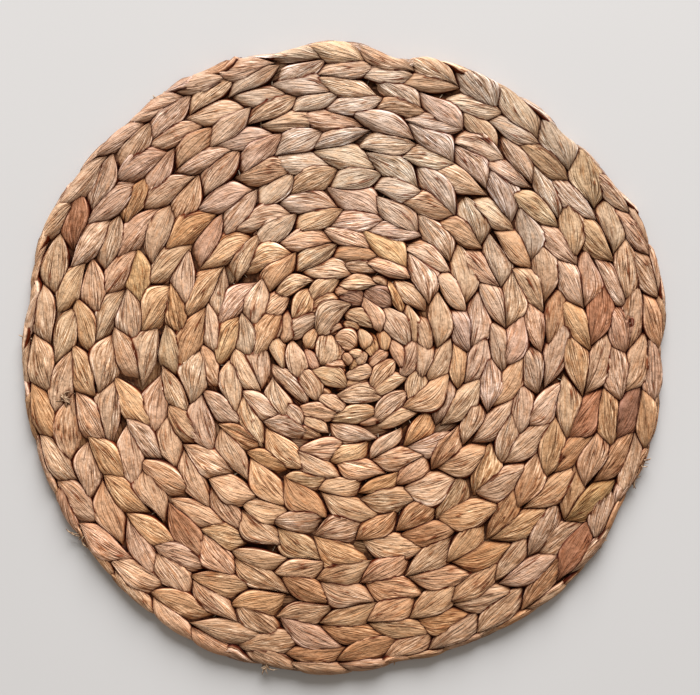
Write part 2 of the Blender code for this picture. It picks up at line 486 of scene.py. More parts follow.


# Loops round the coil's centre, laid one by one: place from the coil's centre, heading in degrees
# counter-clockwise from +X, length and width, and how much higher they lie, all in mm; how square
# their ends are, and their kind of colour
CENTRE_LOOPS = (
    # x,     y,     head,  length, width, raise, square, kind
    (-11, -0.3, 255, 19.5, 13.5, 0.6, 0.6, "pale"),
    (1, 3.6, 335, 14.5, 10, 0.7, 1, "pink"),
    (4.8, 13.4, 333, 11.5, 7, 0.1, 0.3, "usual"),
    (10, 17.6, 332, 20.5, 9, 0.5, 0.2, "usual"),
    (-4.5, 17.3, 39, 28, 11.5, 0.9, 0.1, "usual"),
    (-4, 10.3, 20, 11, 6, -0.2, 0.3, "usual"),
    (-23.5, 13.3, 29, 27, 10.5, 0.4, 0.2, "grey"),
    (-18.6, 6.8, 62, 15, 8, -0.2, 0.2, "golden"),
    (-34.4, 13.5, 262, 20, 9, 0.2, 0.1, "pink"),
    (-24.5, 25.8, 240, 22.5, 11, 0.5, 0.3, "golden"),
    (-12, 25.4, 27, 22, 9.5, 0.3, 0.5, "usual"),
    (-11, 34.2, 41, 27, 10.5, 0.2, 0.1, "usual"),
    (-28.5, 35.8, 20, 26, 9, 0.3, 0.1, "usual"),
    (-39.5, 26.5, 36, 21, 11, 0.1, 0.2, "pink"),
    (4.5, 29.6, 342, 17.5, 10.5, 0.1, 0.4, "shaded"),
    (2.5, 34.4, 352, 17, 6, -0.1, 0.3, "pink"),
    (20, 31, 328, 20, 11, 0.2, 0.4, "shaded"),
    (16.5, 21.2, 295, 23.5, 9, 0.8, 0.1, "pink"),
    (30, 13, 302, 30.5, 13.5, 0.6, 0.1, "usual"),
    (39.5, 15.3, 280, 28, 9, 0.2, 0.1, "pale"),
    (30.8, 30.5, 292, 22, 7.5, 0, 0.1, "golden"),
    (9, 38.6, 357, 23, 9, 0.4, 0.1, "usual"),
    (21, 39, 330, 13, 6, -0.4, 0.2, "grey"),
    (10.7, 6, 279, 14, 7, 0.9, 0.4, "pale"),
    (16.3, 2.2, 284, 17.5, 8, 0.1, 0.2, "golden"),
    (23.4, 5.6, 272, 15, 8, 0.1, 0.2, "golden"),
    (8, -2.2, 345, 10.5, 5, 0.9, 0.5, "pale"),
    (10.8, -5.6, 52, 11, 6, 0.8, 0.3, "pale"),
    (1.6, -5.8, 300, 9.5, 6, 0.7, 0.4, "pink"),
    (7.4, -9, 50, 11.5, 6.5, 0.5, 0.3, "golden"),
    (-5.5, -8.3, 352, 16, 7, 0.3, 0.4, "pink"),
    (-5.8, -12.6, 328, 17, 6.5, 0.2, 0.2, "pale"),
    (-9, -18.3, 335, 25.5, 11, 0.5, 0.1, "usual"),
    (9, -14.7, 9, 20.5, 8.5, 0.5, 0.2, "usual"),
    (20.3, -5.8, 36, 16.5, 8, 0.1, 0.3, "pink"),
    (22.8, -15.6, 49, 25.5, 10.5, 0.6, 0.1, "pink"),
    (31, -3.3, 292, 23, 9, 0.3, 0.1, "pink"),
    (37.8, -4.5, 246, 27, 11, 0.2, 0.1, "usual"),
    (6.3, -22, 10, 22, 8.5, -0.2, 0.2, "usual"),
    (27, -21.8, 24, 24.5, 9, 0.4, 0.1, "pale"),
    (10, -28.8, 357, 30, 10, 0.4, 0.1, "usual"),
    (-6.8, -30.6, 328, 21.5, 9.5, 0.3, 0.2, "usual"),
    (-21.3, -20.3, 300, 25.5, 10.5, 0.4, 0.1, "usual"),
    (-28.8, -6.8, 276, 24.5, 10.5, 0.7, 0.3, "usual"),
    (-18.8, -6, 295, 17, 8, -0.1, 0.2, "pink"),
    (-38.5, -1.8, 286, 25, 8.5, 0.1, 0.1, "usual"),
    (-31.3, -21.3, 311, 32, 10.5, 0.1, 0.1, "pale"),
    (-31, -36.8, 308, 23, 10.5, 0.2, 0.2, "grey"),
    (-14, -37, 349, 26, 9.5, 0.3, 0.1, "pink"),
    (5.6, -38.6, 6, 31.5, 10, 0.4, 0.1, "usual"),
    (27.6, -33.5, 37, 27.5, 10.5, 0.3, 0.1, "usual"),
    (33, -40.3, 19, 27, 8.5, 0.1, 0.1, "usual"),
    (42, -21, 255, 28, 10.5, 0.2, 0.1, "pale"),
    (39, 32.3, 314, 25, 10.5, 0.2, 0.1, "usual"),
    (-41.5, 13, 248, 20, 8.5, 0, 0.1, "usual"),
    (-17, -43.5, 327, 19, 8.5, 0, 0.1, "usual"),
    (9, 47.5, 352, 25, 8, -0.3, 0.1, "usual"),
    (17, -41.5, 10, 22, 7, -0.4, 0.1, "pink"),
    (-22, -47.5, 335, 22, 7.5, -0.4, 0.1, "usual"),
    (-12.5, -24.5, 318, 16, 6.5, -0.5, 0.1, "usual"),
    (13.5, 27, 330, 14, 7, -0.6, 0.2, "usual"),
)
CENTRE_LENGTH = 1.14
CENTRE_WIDTH = 1.50
CENTRE_RAISE = 2.0
# Inside this radius, and this near one of those, no other loop lies.
BY_HAND_WITHIN = 43.0 * MM
BY_HAND_APART = 6.5 * MM

# Short slivers of stem tucked in round the rim, laid on its roll: how many, and their grid
SLIVERS = 34
SLIVER_GRID = (16, 10, 3)

# Frayed ends: place from the coil's centre in mm, heading and spread in degrees, length in mm, and
# how many fibres
FRAYS = (
    # x,      y,      head,  spread, length, fibres
    (-44.0, -184.0, 255.0, 50.0, 7.0, 9),
    (-187.5, 6.0, 185.0, 60.0, 5.0, 9),
    (-155.0, -110.0, 215.0, 40.0, 9.0, 7),
    (-162.0, -29.5, 130.0, 35.0, 7.0, 9),
    (174.5, -66.0, 330.0, 60.0, 6.0, 9),
    (169.0, -75.0, 325.0, 70.0, 6.0, 10),
    (150.0, -112.0, 320.0, 60.0, 5.0, 6),
    (-113.0, 153.0, 130.0, 60.0, 6.0, 7),
    (29.0, -181.0, 285.0, 60.0, 5.0, 7),
)


def by_hand(loop):
    """Whether a loop of the plait lies where the listed loops are laid."""
    x, y = loop.middle()
    nearest = min(math.hypot(x - row[0] * MM, y - row[1] * MM) for row in CENTRE_LOOPS)
    return math.hypot(x, y) < BY_HAND_WITHIN or nearest < BY_HAND_APART


def plaited_loops(rng, face, grid, phase, sunk=0.0):
    """The loops of a face, or, sunk, its lower layer, each with its winding."""
    loops = []
    width = LOOP_WIDTH if face.side > 0 else UNDER_WIDTH
    for side in (1, -1):
        for degrees in windings_of_loops(phase + (INNER_COLUMN_ON if side < 0 else 0.0)):
            step = pitch(degrees, face.line)
            loop = Loop(rng, face, LOOP_LENGTH * step, width)
            loop.lift -= sunk
            head = degrees + math.degrees(step / float(face.line(degrees))) * rng.normal(0.0, 0.05)
            lay_in_plait(loop, head, side, step, grid)
            outermost = side > 0 and degrees < 360.0
            if (sunk > 0.0 and not outermost) or (sunk == 0.0 and not by_hand(loop)):
                loop.kind = choose_kind(rng)
                loop.winding = degrees
                loops.append(loop)
    return loops


def press_under(loop, overlaps):
    """Presses a hidden loop down where it would come out through the loops over it."""
    x, y, over = np.moveaxis(loop.grid["flat"], -1, 0)
    above = overlaps.clear(NO_LOOP, loop.grid["flat"]) + HIDDEN_BELOW
    over = over - np.where(above < HIDDEN_GAP, np.maximum(above, 0.0), 0.0)
    points = loop.face.place(-np.degrees(np.arctan2(y, x)), np.hypot(x, y), over)
    loop.keep(points, np.stack([x, y, over], axis=-1), loop.grid["flip"])


def centre_loops(rng, face, grid):
    loops = []
    for x, y, heading, length, width, higher, square, kind in CENTRE_LOOPS:
        loop = Loop(rng, face, 1.0, CENTRE_WIDTH * width * MM)
        loop.length = CENTRE_LENGTH * length * MM
        loop.lift = 0.3 * loop.lift + CENTRE_RAISE * (higher - 0.3) * MM
        loop.square = square
        loop.kind = kind
        middle = np.array([x, y]) * MM
        arch = loop.length ** 2 / (8.0 * max(math.hypot(x, y), 12.0) * MM) * 0.5
        lay_loop(loop, middle, math.radians(heading), loop.length, False, arch, grid)
        loops.append(loop)
    return loops


def rim_slivers(rng, face, grid):
    """Slivers of stem along the rim, part of the way down its roll."""
    loops = []
    for number in range(SLIVERS):
        degrees = 360.0 * (number + rng.uniform(0.0, 1.0)) / SLIVERS
        loop = Loop(rng, face, rng.uniform(13.0, 25.0) * MM, rng.uniform(4.0, 7.0) * MM)
        loop.lift -= rng.uniform(0.6, 1.6) * MM
        loop.kind = choose_kind(rng)
        radius = float(rim(degrees)) - ROLL_RADIUS + rng.uniform(0.9, 1.7) * ROLL_RADIUS
        heading = math.radians(-degrees - 90.0 + rng.normal(0.0, 9.0))
        arch = loop.length ** 2 / (8.0 * radius)
        lay_loop(loop, on_flat(degrees, radius), heading, loop.length, False, arch, grid)
        loops.append(loop)
    return loops


# ---- colour of each loop

# Stem colour by place: x and y from the coil's centre, then the display colour there. It is palest
# in the middle, greyer at the top, and darker and redder along the right and lower rim. Along the
# lower rim that darkening is partly painted shade on the side of the rim turned from the light.
PLACE_COLOURS = (
    (0.00, 0.00, (220, 180, 145)),
    (0.08, 0.00, (205, 165, 135)),
    (0.00, 0.15, (200, 170, 145)),
    (0.11, 0.12, (210, 180, 150)),
    (0.16, 0.00, (210, 170, 135)),
    (0.11, -0.12, (195, 155, 120)),
    (0.00, -0.15, (205, 160, 120)),
    (-0.12, -0.12, (205, 160, 125)),
    (-0.16, 0.00, (205, 165, 130)),
    (-0.12, 0.12, (195, 155, 125)),
    (0.13, 0.13, (165, 135, 115)),
    (0.185, 0.00, (175, 130, 100)),
    # These two rows, on the lower rim, are darker partly as painted shade.
    (0.13, -0.13, (170, 130, 100)),
    (0.00, -0.185, (150, 110, 85)),
)
PLACE_REACH = 0.05

# How single loops differ from that: share of loops, then factors on red, green and blue. Kinds
# with no share are for the tables of single loops.
LOOP_KINDS = {
    "usual": (0.32, (1.00, 1.00, 1.00)),
    "pale": (0.20, (1.05, 1.06, 1.06)),
    "pink": (0.14, (1.03, 0.965, 0.95)),
    "grey": (0.08, (0.91, 0.93, 0.95)),
    "golden": (0.16, (1.02, 0.95, 0.82)),
    "brown": (0.10, (0.85, 0.73, 0.60)),
    "red": (0.00, (0.70, 0.50, 0.42)),
    "shaded": (0.00, (0.52, 0.46, 0.47)),
    "purple": (0.00, (0.60, 0.47, 0.45)),
    "orange": (0.00, (1.02, 0.86, 0.64)),
    "olive": (0.00, (0.84, 0.80, 0.56)),
}

# Loops that stand out: their place from the coil's centre in mm, and their kind of colour
ACCENTS = (
    (-153, 71, "red"),
    (-100, 77, "orange"),
    (150, 32, "red"),
    (152, -54, "brown"),
    (125, -128, "brown"),
    (156, 121, "shaded"),
    (150, 141, "grey"),
    (51, -37, "orange"),
    (172, -35, "purple"),
    (143, -40, "red"),
    (91, -117, "brown"),
    (142, -115, "red"),
    (156, -82, "olive"),
)


def colour_at(x, y):
    """The usual stem colour at a place, from the coil's centre."""
    weights = np.array([math.exp(-((x - px) ** 2 + (y - py) ** 2) / PLACE_REACH ** 2)
                        for px, py, colour in PLACE_COLOURS])
    colours = np.array([linear(*colour) for px, py, colour in PLACE_COLOURS])
    return weights @ colours / weights.sum()


def choose_kind(rng):
    shares = np.array([share for share, factors in LOOP_KINDS.values()])
    return str(rng.choice(list(LOOP_KINDS), p=shares / shares.sum()))


def colour_accents(loops):
    """Gives the loops nearest the places of the accents their kinds of colour."""
    middles = np.array([loop.middle() for loop in loops])
    for x, y, kind in ACCENTS:
        away = np.hypot(middles[:, 0] - x * MM, middles[:, 1] - y * MM)
        loops[int(np.argmin(away))].kind = kind


def tint_loops(rng, loops):
    """Gives each loop its own colour."""
    for loop in loops:
        factors = np.array(LOOP_KINDS[loop.kind][1]) * rng.normal(1.0, 0.045)
        factors[2] *= rng.normal(1.0, 0.04)
        loop.tint = colour_at(*loop.middle()) * factors


def point_tints(loop):
    """Colour at each point of a loop: a drift along it, across it, and one stained end."""
    a, b, c, d, e, f = loop.phases
    u, q = loop.grid["u"], loop.grid["q"]
    drift = 1.0 + 0.16 * (a - 0.5) * (2.0 * u - 1.0) + 0.14 * (b - 0.5) * q
    stained = smooth_step((u - 0.80 + 0.5 * c) / 0.35) * max(0.0, d - 0.45)
    stain = np.array([-0.25, -0.42, -0.55])
    return loop.tint * drift[..., None] * (1.0 + stained[..., None] * stain)


# ---- meshes

class HeightMap:
    """The highest stem surface over each small square of a face, blurred."""

    CELL = 1.2 * MM
    HALF_COUNT = 180
    BLUR_CELLS = 3
    BLURS = 3

    def __init__(self, flats):
        size = 2 * self.HALF_COUNT
        points = np.concatenate([flat.reshape(-1, 3) for flat in flats])
        highest = np.full((size, size), -LOOP_CROWN * 2.0)
        i, j = self.cells(points)
        np.maximum.at(highest, (i, j), points[:, 2])
        kernel = np.ones(2 * self.BLUR_CELLS - 1) / (2 * self.BLUR_CELLS - 1)
        for _ in range(self.BLURS):
            for axis in (0, 1):
                highest = np.apply_along_axis(np.convolve, axis, highest, kernel, "same")
        self.blurred = highest

    def cells(self, points):
        last = 2 * self.HALF_COUNT - 1
        index = np.floor(points[..., :2] / self.CELL).astype(int) + self.HALF_COUNT
        index = np.clip(index, 0, last)
        return index[..., 0], index[..., 1]

    def depth(self, flat):
        """How far points lie below the blurred surface."""
        return self.blurred[self.cells(flat)] - flat[..., 2]


class Overlaps:
    """The highest loop over each small square of a face, and the height of the next one down."""

    CELL = 0.4 * MM
    HALF_COUNT = 550
    FINER = 4

    def __init__(self, loops):
        size = (2 * self.HALF_COUNT, 2 * self.HALF_COUNT)
        self.first = np.full(size, -LOOP_CROWN * 2.0)
        self.second = self.first.copy()
        self.owner = np.full(size, -1)
        for number, loop in enumerate(loops):
            self.add(number, self.finer(loop.upper_side()))

    def finer(self, grid):
        """A grid of points with more rows and columns, in straight lines between the given ones."""
        for axis in (0, 1):
            count = grid.shape[axis]
            places = np.linspace(0.0, count - 1.0, self.FINER * count)
            share = np.maximum(0.0, 1.0 - np.abs(places[:, None] - np.arange(count)))
            grid = np.moveaxis(np.tensordot(share, grid, (1, axis)), 0, axis)
        return grid

    def add(self, number, points):
        index = np.floor(points[..., :2] / self.CELL).astype(int) + self.HALF_COUNT
        start = index.min(axis=(0, 1))
        end = index.max(axis=(0, 1)) + 1
        index -= start
        highest = np.full(end - start, -LOOP_CROWN * 3.0)
        np.maximum.at(highest, (index[..., 0], index[..., 1]), points[..., 2])
        window = (slice(start[0], end[0]), slice(start[1], end[1]))
        first, second, owner = self.first[window], self.second[window], self.owner[window]
        on_top = highest > first
        second[on_top] = first[on_top]
        first[on_top] = highest[on_top]
        owner[on_top] = number
        second[:] = np.where(on_top, second, np.maximum(second, highest))

    def clear(self, number, flat):
        """How far a loop's points lie above the highest of the other loops there."""
        place = flat[..., :2] / self.CELL + self.HALF_COUNT - 0.5
        corner = np.floor(place).astype(int)
        part = place - corner
        others = 0.0
        for right in (0, 1):
            for up in (0, 1):
                i, j = corner[..., 0] + right, corner[..., 1] + up
                weight = np.abs(1 - right - part[..., 0]) * np.abs(1 - up - part[..., 1])
                own = self.owner[i, j] == number
                others = others + weight * np.where(own, self.second[i, j], self.first[i, j])
        return flat[..., 2] - others


def tube_faces(along, ring):
    """Corner indices of a closed tube's faces: quads on the grid, and a fan at each tip."""
    i, j = np.meshgrid(np.arange(along - 1), np.arange(ring), indexing="ij")
    i, j = i.ravel(), j.ravel()
    after = (j + 1) % ring
    quads = np.stack([i * ring + j, i * ring + after, (i + 1) * ring + after, (i + 1) * ring + j], 1)
    tail, head = along * ring, along * ring + 1
    k = np.arange(ring)
    next_k = (k + 1) % ring
    last = (along - 1) * ring
    at_tail = np.stack([np.full(ring, tail), next_k, k], 1)
    at_head = np.stack([np.full(ring, head), last + k, last + next_k], 1)
    return quads, np.concatenate([at_tail, at_head])


def tube_chart(along, ring):
    """Where each face corner lies in the loop's cell of the chart, from 0 to 1."""
    i, j = np.meshgrid(np.arange(along - 1), np.arange(ring), indexing="ij")
    i, j = i.ravel() + 1.0, j.ravel() * 1.0
    rows, columns = along + 1.0, float(ring)
    quads = np.stack([j / columns, i / rows, (j + 1) / columns, i / rows,
                      (j + 1) / columns, (i + 1) / rows, j / columns, (i + 1) / rows], 1)
    k = np.arange(ring) * 1.0
    bottom, top = np.full(ring, 1.0 / rows), np.full(ring, along / rows)
    at_tail = np.stack([(k + 0.5) / columns, bottom * 0, (k + 1) / columns, bottom,
                        k / columns, bottom], 1)
    at_head = np.stack([(k + 0.5) / columns, top * 0 + 1.0, k / columns, top,
                        (k + 1) / columns, top], 1)
    return quads.reshape(-1, 4, 2), np.concatenate([at_tail, at_head]).reshape(-1, 3, 2)


def mesh_object(name, points, quads, triangles, material):
    """An object from arrays of points and faces, shaded smooth, with one material."""
    mesh = bpy.data.meshes.new(name)
    corners = np.concatenate([quads.ravel(), triangles.ravel()]).astype(np.int32)
    sizes = np.concatenate([np.full(len(quads), 4), np.full(len(triangles), 3)])
    starts = np.concatenate([[0], np.cumsum(sizes)[:-1]]).astype(np.int32)
    mesh.vertices.add(len(points))
    mesh.vertices.foreach_set("co", points.astype(np.float32).ravel())
    mesh.loops.add(len(corners))
    mesh.loops.foreach_set("vertex_index", corners)
    mesh.polygons.add(len(sizes))
    mesh.polygons.foreach_set("loop_start", starts)
    mesh.polygons.foreach_set("use_smooth", np.ones(len(sizes), bool))
    mesh.update(calc_edges=True)
    mesh.validate()
    mesh.materials.append(material)
    obj = bpy.data.objects.new(name, mesh)
    bpy.context.scene.collection.objects.link(obj)
    return obj


# What the materials read at each point
ATTRIBUTES = {"tint": "FLOAT_COLOR", "stem": "FLOAT_VECTOR", "depth": "FLOAT", "edge": "FLOAT",
              "clear": "FLOAT"}
CLEAR_MOST = 3.0 * MM
# Each loop has a cell of the chart: how many columns of them for each row, and a cell's border
CHART_COLUMNS_PER_ROW = 2.6
CELL_BORDER = 0.03


def add_attribute(mesh, name, values):
    kind = ATTRIBUTES[name]
    field = {"FLOAT_COLOR": "color", "FLOAT_VECTOR": "vector", "FLOAT": "value"}[kind]
    attribute = mesh.attributes.new(name, kind, "POINT")
    attribute.data.foreach_set(field, np.ascontiguousarray(values, np.float32).ravel())


def loop_attributes(loop, heights):
    """On a loop's grid: its colour, stem coordinates, depth, share across and room above others."""
    grid = loop.grid
    tint = point_tints(loop)
    half = 0.5 * (loop.reach_line + loop.reach_seam)
    stem = [grid["u"] * loop.length / MM, half * grid["q"] / MM, np.full_like(grid["u"], loop.seed)]
    clear = grid.get("clear", np.full_like(grid["u"], CLEAR_MOST))
    return {
        "tint": np.concatenate([tint, np.ones_like(tint[..., :1])], axis=-1),
        "stem": np.stack(stem, axis=-1),
        "depth": heights.depth(grid["flat"]) / MM,
        "edge": np.abs(grid["q"]),
        "clear": np.clip(clear, -CLEAR_MOST, CLEAR_MOST) / MM,
    }


def with_tips(values):
    """A loop's grid of values as a list, followed by those for its two tips."""
    return np.concatenate([values.reshape(-1, *values.shape[2:]), values[[0, -1], 0]])


def loops_object(name, loops, heights, material):
    """Joins loops into one mesh with their attributes and a cell of the chart for each."""
    along, ring = loops[0].grid["u"].shape
    faces, charts = tube_faces(along, ring), tube_chart(along, ring)
    per_loop = along * ring + 2
    columns = max(1, round(math.sqrt(len(loops) * CHART_COLUMNS_PER_ROW)))
    size = np.array([columns, math.ceil(len(loops) / columns)])
    points, corners, uvs = [], ([], []), ([], [])
    for number, loop in enumerate(loops):
        surface = loop.grid["points"]
        tips = surface[[0, -1]].mean(axis=1)
        points.append(np.concatenate([surface.reshape(-1, 3), tips]))
        turned = slice(None, None, -1) if loop.grid["flip"] else slice(None)
        cell = np.array([number % columns, number // columns]) + CELL_BORDER
        for part in (0, 1):
            corners[part].append(faces[part][:, turned] + number * per_loop)
            inside = (1.0 - 2.0 * CELL_BORDER) * charts[part][:, turned]
            uvs[part].append((cell + inside) / size)
    quads, fans = np.concatenate(corners[0]), np.concatenate(corners[1])
    obj = mesh_object(name, np.concatenate(points), quads, fans, material)
    chart = obj.data.uv_layers.new(name="OFBake")
    uvs = np.concatenate([np.concatenate(part).reshape(-1, 2) for part in uvs])
    chart.data.foreach_set("uv", uvs.astype(np.float32).ravel())
    made = [loop_attributes(loop, heights) for loop in loops]
    for key in ATTRIBUTES:
        add_attribute(obj.data, key, np.concatenate([with_tips(values[key]) for values in made]))
    return obj


# ---- inner strands, thread, fibres

def inner_strands(face, material):
    """The stretches of stem that cross inside the plait, seen only through the gaps between loops."""
    rows, columns = INNER_GRID
    degrees, share = np.meshgrid(np.arange(columns) * 360.0 / columns,
                                 np.linspace(0.012, 1.0, rows), indexing="ij")
    radius = share * (rim(degrees) - INNER_MARGIN)
    angles = np.radians(degrees)
    crossing = np.sin(angles * 40.0 + radius / (3.6 * MM)) * np.sin(angles * 40.0 - radius / (3.6 * MM))
    lift = 0.6 * MM * crossing * smooth_step(radius / (30.0 * MM))
    x, y = radius * np.cos(angles), -radius * np.sin(angles)
    upper = np.stack([x, y, face.middle_z + INNER_HALF + lift], axis=-1)
    lower = np.stack([x, y, face.middle_z - INNER_HALF + lift], axis=-1)
    points = np.concatenate([upper, lower[:, ::-1]], axis=1)
    points[..., 0] += face.coil_x
    points[..., 1] += face.coil_y
    ring = 2 * rows
    i, j = np.meshgrid(np.arange(columns), np.arange(ring), indexing="ij")
    i, j = i.ravel(), j.ravel()
    i_next, j_next = (i + 1) % columns, (j + 1) % ring
    quads = np.stack([i * ring + j, i_next * ring + j, i_next * ring + j_next, i * ring + j_next], 1)
    quads = quads[:, ::-1]
    return mesh_object("inner_strands", points.reshape(-1, 3), quads, np.zeros((0, 3), int), material)


def tubes_object(name, routes, radii, material, sides=5):
    """Joins thin closed tubes along routes of points into one mesh."""
    points, quads, fans, along_values = [], [], [], []
    start = 0
    for route, radius in zip(routes, radii):
        route = np.asarray(route)
        count = len(route)
        tangent = np.gradient(route, axis=0)
        tangent /= np.linalg.norm(tangent, axis=1)[:, None]
        side = np.cross(tangent, (0.13, 0.21, 0.97))
        side /= np.linalg.norm(side, axis=1)[:, None]
        up = np.cross(side, tangent)
        turn = 2.0 * math.pi * np.arange(sides) / sides
        shrink = np.ones(count)
        shrink[[0, -1]] = 0.35
        ring = (side[:, None] * np.cos(turn)[None, :, None] + up[:, None] * np.sin(turn)[None, :, None])
        surface = route[:, None] + ring * (radius * shrink)[:, None, None]
        points.append(np.concatenate([surface.reshape(-1, 3), route[[0, -1]]]))
        tube_quads, tube_fans = tube_faces(count, sides)
        quads.append(tube_quads[:, ::-1] + start)
        fans.append(tube_fans[:, ::-1] + start)
        length = np.concatenate([[0], np.cumsum(np.linalg.norm(np.diff(route, axis=0), axis=1))]) / MM
        wound = np.broadcast_to(turn[None, :] / (2.0 * math.pi), (count, sides))
        stem = np.stack([np.repeat(length[:, None], sides, 1), wound, np.full_like(wound, start % 97)], -1)
        ends = np.array([[length[0], 0.5, 0.0], [length[-1], 0.5, 0.0]])
        along_values.append(np.concatenate([stem.reshape(-1, 3), ends]))
        start += len(points[-1])
    obj = mesh_object(name, np.concatenate(points), np.concatenate(quads), np.concatenate(fans), material)
    add_attribute(obj.data, "stem", np.concatenate(along_values))
    return obj


def frayed_fibres(rng, face):
    """Routes of the fibres that stand out from the rim and the seams, and their radii."""
    routes, radii = [], []
    for x, y, heading, spread, length, fibres in FRAYS:
        rim_there = float(rim(-math.degrees(math.atan2(y, x))))
        inwards = min(1.0, (rim_there - 2.5 * MM) / (math.hypot(x, y) * MM))
        inside = rim_there - math.hypot(x, y) * MM > 8.0 * MM
        for _ in range(fibres):
            turn = math.radians(heading + rng.uniform(-spread, spread))
            curl = rng.normal(0.0, 0.12)
            along = np.linspace(-0.35, 1.0, 7) * length * rng.uniform(0.4, 1.1)
            headings = turn + curl * along
            start = np.array([x, y]) * inwards + rng.normal(0.0, 1.0, 2)
            plan_x = face.coil_x + (start[0] + along * np.cos(headings)) * MM
            plan_y = face.coil_y + (start[1] + along * np.sin(headings)) * MM
            base = (0.0 if inside else rng.uniform(-7.0, -2.0)) * MM
            height = face.middle_z + face.half + base + 0.1 * along * MM * rng.normal(0.0, 1.0)
            routes.append(np.stack([plan_x, plan_y, height], axis=-1))
            radii.append(rng.uniform(0.22, 0.55) * MM)
    return routes, radii


def seam_stitches(rng, face):
    """Routes of the short stitches of thread across the seam, deep between the loops."""
    routes = []
    degrees = STITCH_FROM_DEGREES
    while degrees < STITCH_TO_DEGREES:
        here, inside = face.line(degrees), face.line(degrees + 360.0)
        seam = 0.5 * (here + inside)
        slant = rng.normal(1.2, 0.5) * MM
        across = np.linspace(-1.0, 1.0, 5)
        over = STITCH_OVER - STITCH_SAG * across ** 2 + rng.normal(0.0, 0.2) * MM
        wound = degrees + np.degrees(slant * across / seam)
        routes.append(face.place(wound, seam + STITCH_HALF * across, over))
        degrees += math.degrees(STITCH_SPACING * rng.uniform(0.75, 1.25) / seam)
    return routes


# ---- materials

class Nodes:
    """Adds linked nodes to a material's tree."""

    def __init__(self, name):
        self.material = bpy.data.materials.new(name)
        self.material.use_nodes = True
        self.tree = self.material.node_tree
        self.shader = self.tree.nodes["Principled BSDF"]

    def add(self, kind, inputs=(), **settings):
        node = self.tree.nodes.new(kind)
        for key, value in settings.items():
            setattr(node, key, value)
        for key, value in dict(inputs).items():
            self.feed(node.inputs[key], value)
        return node

    def feed(self, socket, value):
        if isinstance(value, bpy.types.NodeSocket):
            self.tree.links.new(value, socket)
        else:
            socket.default_value = value

    def math(self, operation, *values, clamp=False):
        node = self.add("ShaderNodeMath", operation=operation, use_clamp=clamp)
        for socket, value in zip(node.inputs, values):
            self.feed(socket, value)
        return node.outputs[0]

    def attribute(self, name, output):
        return self.add("ShaderNodeAttribute", attribute_name=name).outputs[output]

    def scaled(self, vector, scale):
        node = self.add("ShaderNodeVectorMath", operation="MULTIPLY")
        self.feed(node.inputs[0], vector)
        self.feed(node.inputs[1], scale)
        return node.outputs[0]

    def noise(self, vector, scale, detail=2.0, roughness=0.5):
        inputs = {"Vector": self.scaled(vector, scale), "Scale": 1.0, "Detail": detail,
                  "Roughness": roughness}
        return self.add("ShaderNodeTexNoise", inputs).outputs["Fac"]

    def ramp(self, value, low, high, to_low=0.0, to_high=1.0, smooth=True):
        kind = "SMOOTHSTEP" if smooth else "LINEAR"
        inputs = {"Value": value, "From Min": low, "From Max": high, "To Min": to_low,
                  "To Max": to_high}
        return self.add("ShaderNodeMapRange", inputs, interpolation_type=kind).outputs["Result"]

    def mix(self, factor, first, second, blend="MIX"):
        node = self.add("ShaderNodeMix", data_type="RGBA", blend_type=blend)
        self.feed(node.inputs[0], factor)
        self.feed(node.inputs[6], first)
        self.feed(node.inputs[7], second)
        return node.outputs[2]

    def tinted(self, base, share, factors):
        """The base colour, with this share of it multiplied by factors on red, green and blue."""
        return self.mix(share, base, self.mix(1.0, base, colour(factors), "MULTIPLY"))

    def surface(self, base, roughness, height=None, distance=0.0):
        """Sets the shader's colour, roughness and bump."""
        self.feed(self.shader.inputs["Base Color"], base)
        self.feed(self.shader.inputs["Roughness"], roughness)
        if height is not None:
            bump = self.add("ShaderNodeBump", {"Height": height, "Distance": distance, "Strength": 1.0})
            self.feed(self.shader.inputs["Normal"], bump.outputs["Normal"])
        return self.material


def colour(rgb):
    return (*rgb, 1.0)


# Textures on a stem: scale along and across it, per mm, then detail and roughness
STEM_TEXTURES = {
    "fibres": (0.11, 1.35, 1.5, 0.6),
    "hairs": (0.16, 2.6, 1.0, 0.6),
    "fibrous": (0.025, 0.08, 1.0, 0.5),
    "wrinkles": (0.040, 0.85, 1.0, 0.5),
    "wrinkled": (0.05, 0.16, 1.0, 0.5),
    "lines": (0.022, 0.40, 1.5, 0.5),
    "creased": (0.06, 0.20, 1.0, 0.5),
    "blotches": (0.09, 0.22, 3.0, 0.6),
    "warmth": (0.12, 0.5, 2.0, 0.5),
    "dents": (0.20, 0.34, 2.0, 0.55),
    "pores": (1.0, 1.7, 1.0, 0.5),
}

# Factors on the red, green and blue of a stem: its warm patches; painted shade in its creases, whose
# colour its pores share, and in its wrinkles; painted highlights on its crests and near its edges;
# and painted shade on its lower and deeper parts, in its crevices and in its hollows.
WARM = (0.95, 0.76, 0.58)
CREASE_SHADE_AND_PORES = (0.32, 0.12, 0.05)
WRINKLE_SHADE = (0.48, 0.27, 0.15)
CREST_HIGHLIGHT = (1.15, 1.21, 1.31)
EDGE_HIGHLIGHT = (1.36, 1.46, 1.62)
LOW_SHADE = (0.62, 0.36, 0.21)
DEEP_SHADE = (0.33, 0.24, 0.19)
CREVICE_SHADE = (0.17, 0.040, 0.010)
HOLLOW_SHADE = (0.76, 0.52, 0.34)
# The lightness of the fibres, to these powers, is their factor on red, green and blue.
FIBRE_POWERS = (0.85, 1.12, 1.38)
STEM_SPECULAR = 0.10
SHADE_SAMPLES = 6


def near_middle(nodes, texture, to_full, to_none):
    """Thin lines where a texture crosses its middle value."""
    away = nodes.math("ABSOLUTE", nodes.math("SUBTRACT", texture, 0.5))
    return nodes.ramp(away, to_full, to_none, 1.0, 0.0)


